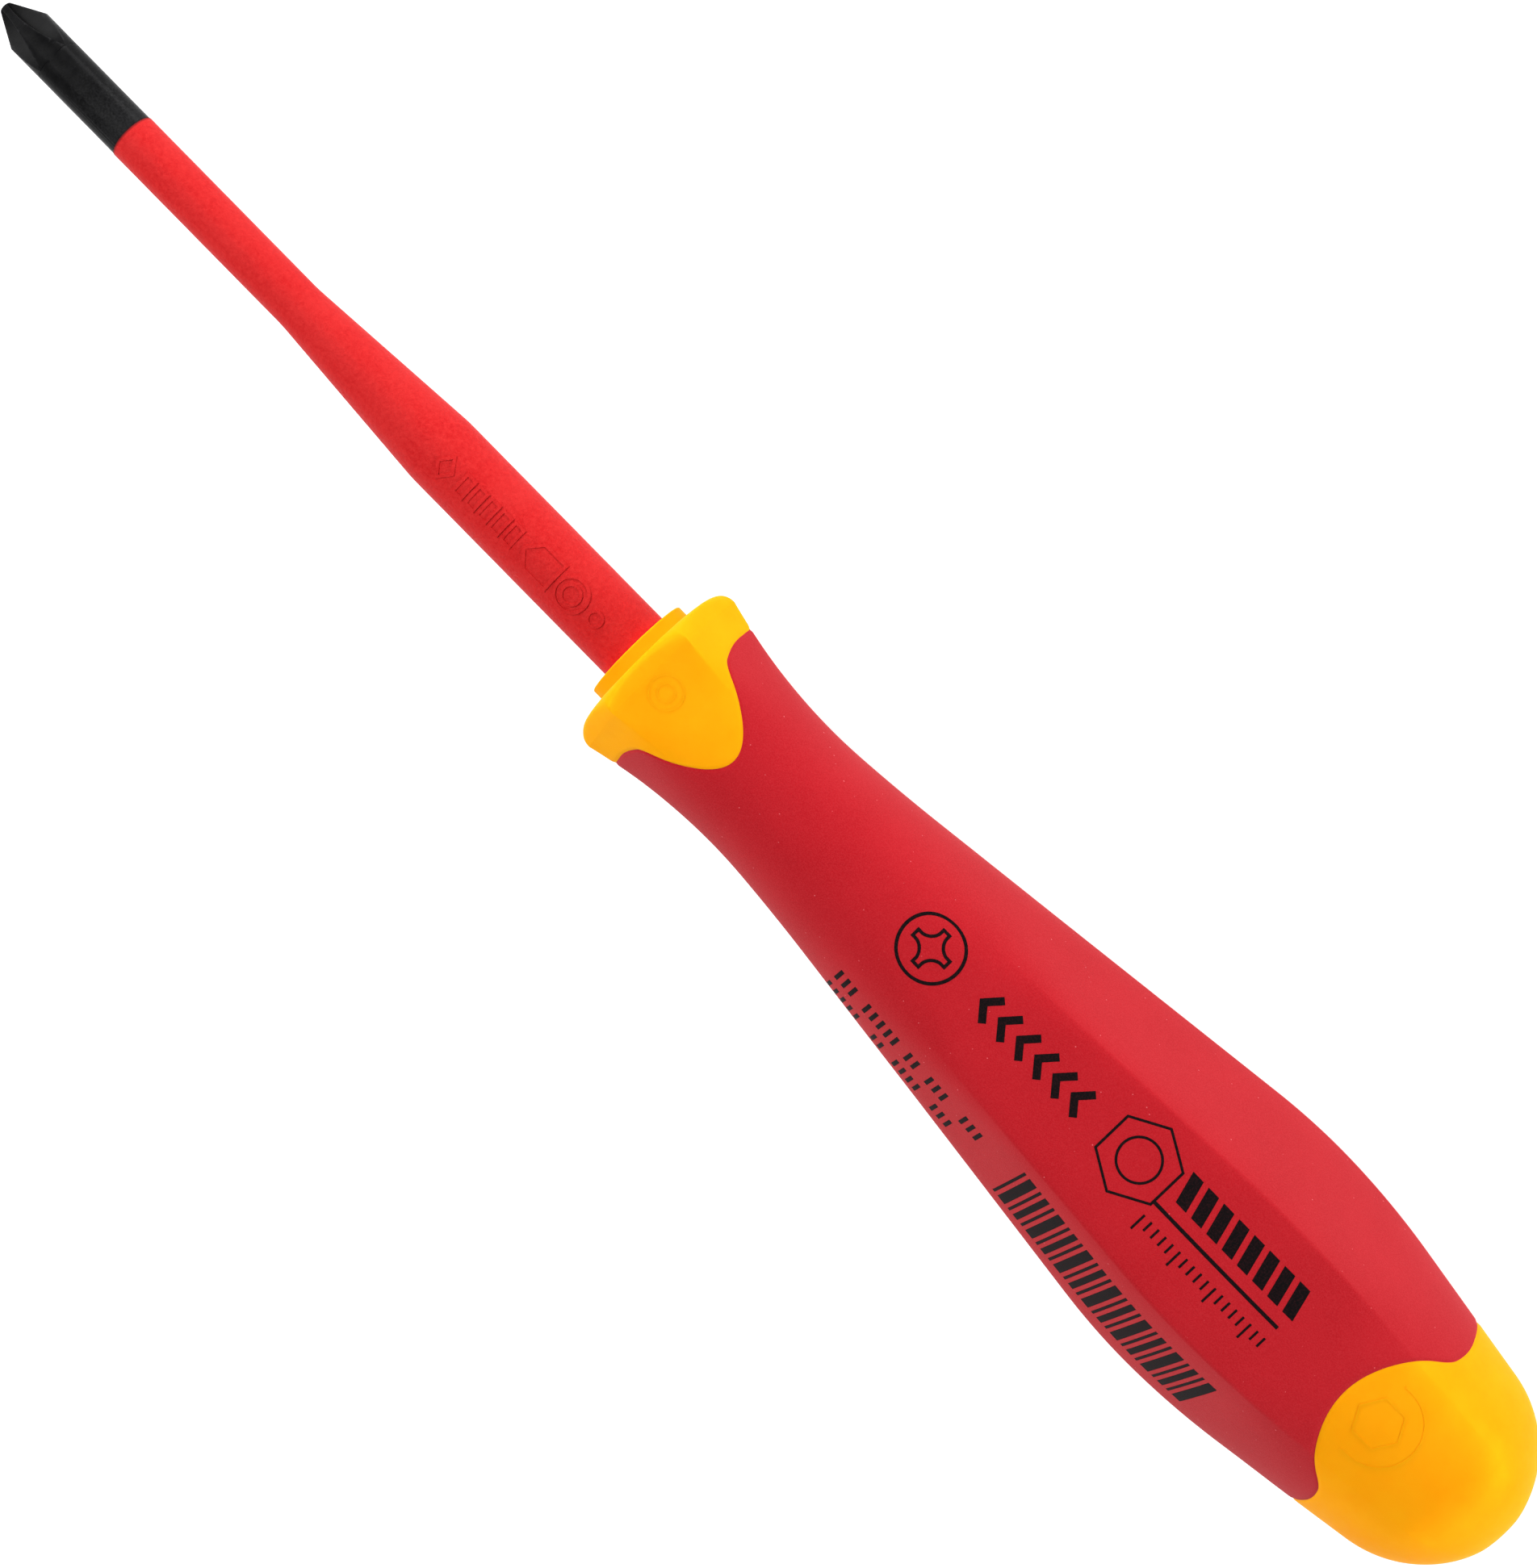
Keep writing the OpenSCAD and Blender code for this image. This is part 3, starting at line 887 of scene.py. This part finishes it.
def top_prints():
    """Marks on the top flat: a recess icon, arrows, a nut, slanted bars and a fine scale."""
    middle = -1.0
    icon = (37.2, middle)
    icon_cross = star(icon, reach=1.95, half_width=0.36, bow_at=1.715, bow_r=1.375)
    print_on(
        "print_recess_icon", [ring(icon, 3.09, 0.32), stroke(icon_cross, 0.3, closed=True)], 0
    )
    arrow_long, arrow_wide, arrow_pitch = 1.2, 1.4, 2.25
    arrows = []
    for k in range(6):
        back = 43.7 + k * arrow_pitch
        path = [
            (back + arrow_long, middle - arrow_wide),
            (back, middle),
            (back + arrow_long, middle + arrow_wide),
        ]
        arrows.append(stroke(path, 0.72))
    print_on("print_arrows", arrows, 0)
    nut, nut_r, nut_hole_r, nut_line = (62.7, -1.2), 3.9, 2.0, 0.24
    outline = polygon(nut, nut_r, 6, first=30)
    print_on(
        "print_nut", [stroke(outline, nut_line, closed=True), ring(nut, nut_hole_r, nut_line)], 0
    )
    bar_pitch = 1.87
    bars = [
        block(67 + k * bar_pitch, 68.25 + k * bar_pitch, -3.9, -0.95, slant=0.28)
        for k in range(8)
    ]
    print_on("print_bars", bars, 0)
    print_on("print_rule", [block(66.2, 81.3, 0.2, 0.55)], 0)
    tick_pitch, tick_from, long_tick, short_tick = 0.87, 1.75, 1.7, 1.05
    ticks = []
    for k in range(18):
        size = long_tick if k % 5 == 0 else short_tick
        at = k * tick_pitch
        ticks.append(block(66.3 + at, 66.52 + at, tick_from, tick_from + size))
    print_on("print_scale", ticks, 0)


def side_prints():
    """Marks on the flat beside the top: two rows of short strokes and a field of stripes."""
    # Each group of strokes is given by where it starts and how many strokes it has
    rows = [
        (-2.1, -0.1, [(33.2, 3), (37, 5), (42.6, 2), (45.4, 3), (50, 3)]),
        (1.3, 3.2, [(33.2, 5), (39.4, 2), (42.4, 4), (47.6, 3)]),
    ]
    stroke_pitch, stroke_wide = 0.95, 0.42
    strokes = []
    for low, high, groups in rows:
        for start, count in groups:
            for k in range(count):
                at = start + k * stroke_pitch
                strokes.append(block(at, at + stroke_wide, low, high))
    print_on("print_strokes", strokes, FLAT_TURN)
    widths, gap, half = [0.3, 1.0, 0.3, 0.65], 0.42, 4.1
    stripes = []
    at = 56.9
    for k in range(26):
        wide = widths[k % len(widths)]
        stripes.append(block(at, at + wide, -half, half))
        at += wide + gap
    print_on("print_stripes", stripes, FLAT_TURN)


def sleeve_marks():
    """Low raised shapes moulded on top of the thick part of the sleeve."""
    middle, lift = 0.4, 0.08
    diamond = [(56.2, middle), (57.1, middle - 1.2), (58, middle), (57.1, middle + 1.2)]
    shapes = [stroke(diamond, 0.3, closed=True)]
    for k in range(5):
        near, far = 59 + k * 1.5, 60 + k * 1.5
        frame_line = [(near, middle - 1), (far, middle - 1), (far, middle + 1), (near, middle + 1)]
        shapes.append(stroke(frame_line, 0.28, closed=True))
    house = [(67, middle), (68.2, middle - 1.5), (70.8, middle - 1.5)]
    house += [(70.8, middle + 1.5), (68.2, middle + 1.5)]
    shapes.append(stroke(house, 0.32, closed=True))
    centre, beside = (72.9, middle), (75.9, middle)
    shapes += [ring(centre, 1.6, 0.3), ring(centre, 0.9, 0.26), ring(beside, 0.7, 0.26)]
    mark("sleeve_marks", shapes, on_sleeve, lift, SLEEVE)


def guard_mark():
    """A plain double ring on the guard's top facet."""
    centre, lift = (5.24, 0), 0.04
    rings = [ring(centre, 1.56, 0.16), ring(centre, 0.8, 0.14)]
    mark("guard_ring", rings, on_handle, lift, GUARD_YELLOW)


def cap_mark(name, flat):
    """The rear edge of the round pad on a petal of the cap, with a plain hexagon inside it."""
    centre, edge_r, sign_r, lift = 93.55, 4.1, 2.4, 0.035
    turns = np.linspace(-1.75, 1.75, 60)
    edge = [(centre + edge_r * math.cos(t), edge_r * math.sin(t)) for t in turns]
    sign = polygon((centre, 0), sign_r, 6)
    shapes = [stroke(edge, 0.3), stroke(sign, 0.22, closed=True)]
    mark(name, shapes, handle_side(flat), lift, CAP_YELLOW)


blade()
sleeve()
core()
guard()
grip()
cap()
top_prints()
side_prints()
sleeve_marks()
guard_mark()
cap_mark("cap_mark_top", 0)
cap_mark("cap_mark_bottom", 180)

# ---------------------------------------------------------------------------------------------
# Stage, light and camera
# ---------------------------------------------------------------------------------------------


def floor():
    """A plain pale table that glows faintly, so that shadows on it stay soft."""
    half = 3.0
    mesh = bpy.data.meshes.new("table_top")
    mesh.from_pydata(
        [(-half, -half, 0), (half, -half, 0), (half, half, 0), (-half, half, 0)],
        [], [(0, 1, 2, 3)],
    )
    material = bpy.data.materials.new("pale_table")
    material.use_nodes = True
    shader = material.node_tree.nodes["Principled BSDF"]
    shader.inputs["Base Color"].default_value = (0.45, 0.45, 0.45, 1)
    shader.inputs["Roughness"].default_value = 0.9
    shader.inputs["Specular IOR Level"].default_value = 0.1
    shader.inputs["Emission Color"].default_value = (1, 1, 1, 1)
    shader.inputs["Emission Strength"].default_value = 0.76
    mesh.materials.append(material)
    table = bpy.data.objects.new("table_top", mesh)
    bpy.context.scene.collection.objects.link(table)


def softbox(name, azimuth, elevation, distance, width, height, power):
    """A large soft light that looks at the tool from an azimuth and elevation in degrees.
    Azimuth 0 is +X and 90 is +Y. Its distance, width and height are in metres."""
    a, e = math.radians(azimuth), math.radians(elevation)
    light = bpy.data.lights.new(name, "AREA")
    light.shape = "RECTANGLE"
    light.size = width
    light.size_y = height
    light.energy = power
    lamp = bpy.data.objects.new(name, light)
    lamp.location = (
        distance * math.cos(e) * math.cos(a),
        distance * math.cos(e) * math.sin(a),
        distance * math.sin(e),
    )
    aim = Vector((0, 0, AXIS_Z * MM)) - lamp.location
    lamp.rotation_euler = aim.to_track_quat("-Z", "Y").to_euler()
    bpy.context.scene.collection.objects.link(lamp)


def world():
    """Soft light from all round, brighter near the horizon than overhead."""
    sky = bpy.data.worlds.new("studio")
    sky.use_nodes = True
    nodes, links = sky.node_tree.nodes, sky.node_tree.links
    where = nodes.new("ShaderNodeTexCoord")
    split = nodes.new("ShaderNodeSeparateXYZ")
    fall = nodes.new("ShaderNodeMapRange")
    high_up, at_horizon, overhead = 0.35, 0.5, 0.17
    fall.inputs["From Min"].default_value = 0.0
    fall.inputs["From Max"].default_value = high_up
    fall.inputs["To Min"].default_value = at_horizon
    fall.inputs["To Max"].default_value = overhead
    links.new(where.outputs["Generated"], split.inputs["Vector"])
    links.new(split.outputs["Z"], fall.inputs["Value"])
    links.new(fall.outputs["Result"], nodes["Background"].inputs["Strength"])
    nodes["Background"].inputs["Color"].default_value = (1, 1, 1, 1)
    bpy.context.scene.world = sky


def camera():
    """A camera almost straight above, leaning a little towards -Y, with the tool across the
    frame from the upper left to the lower right."""
    lean, pitch, roll = math.radians(6), math.radians(-1.003), math.radians(45.5)
    distance, foot_x = 273.80, -7.93
    above = Vector((0, -math.sin(lean), math.cos(lean)))
    across = Vector((0, -math.cos(lean), -math.sin(lean)))
    along = -(math.cos(pitch) * Vector((1, 0, 0)) + math.sin(pitch) * above)
    right = math.cos(roll) * along + math.sin(roll) * across
    up = -math.sin(roll) * along + math.cos(roll) * across
    back = right.cross(up)
    lens = bpy.data.cameras.new("camera")
    lens.lens = 70.1
    lens.sensor_width = 36
    lens.shift_x = -0.0565
    lens.shift_y = 0.0572
    lens.clip_start = 0.01
    lens.clip_end = 20
    eye = bpy.data.objects.new("camera", lens)
    place_at = (Vector((foot_x, 0, AXIS_Z)) + distance * above) * MM
    turn = Matrix((right, up, back)).transposed().to_4x4()
    eye.matrix_world = Matrix.Translation(place_at) @ turn
    bpy.context.scene.collection.objects.link(eye)
    bpy.context.scene.camera = eye


floor()
world()
softbox("key_rear", -150, 17, 1.1, 0.9, 0.3, 9.5)
softbox("key_front", -50, 13, 1.1, 0.9, 0.3, 7.8)
softbox("front", 13, 45, 1.0, 0.69, 0.54, 10.4)
softbox("back", 160, 11, 1.1, 0.9, 0.3, 3.6)
camera()
bpy.context.scene.view_settings.view_transform = "Standard"
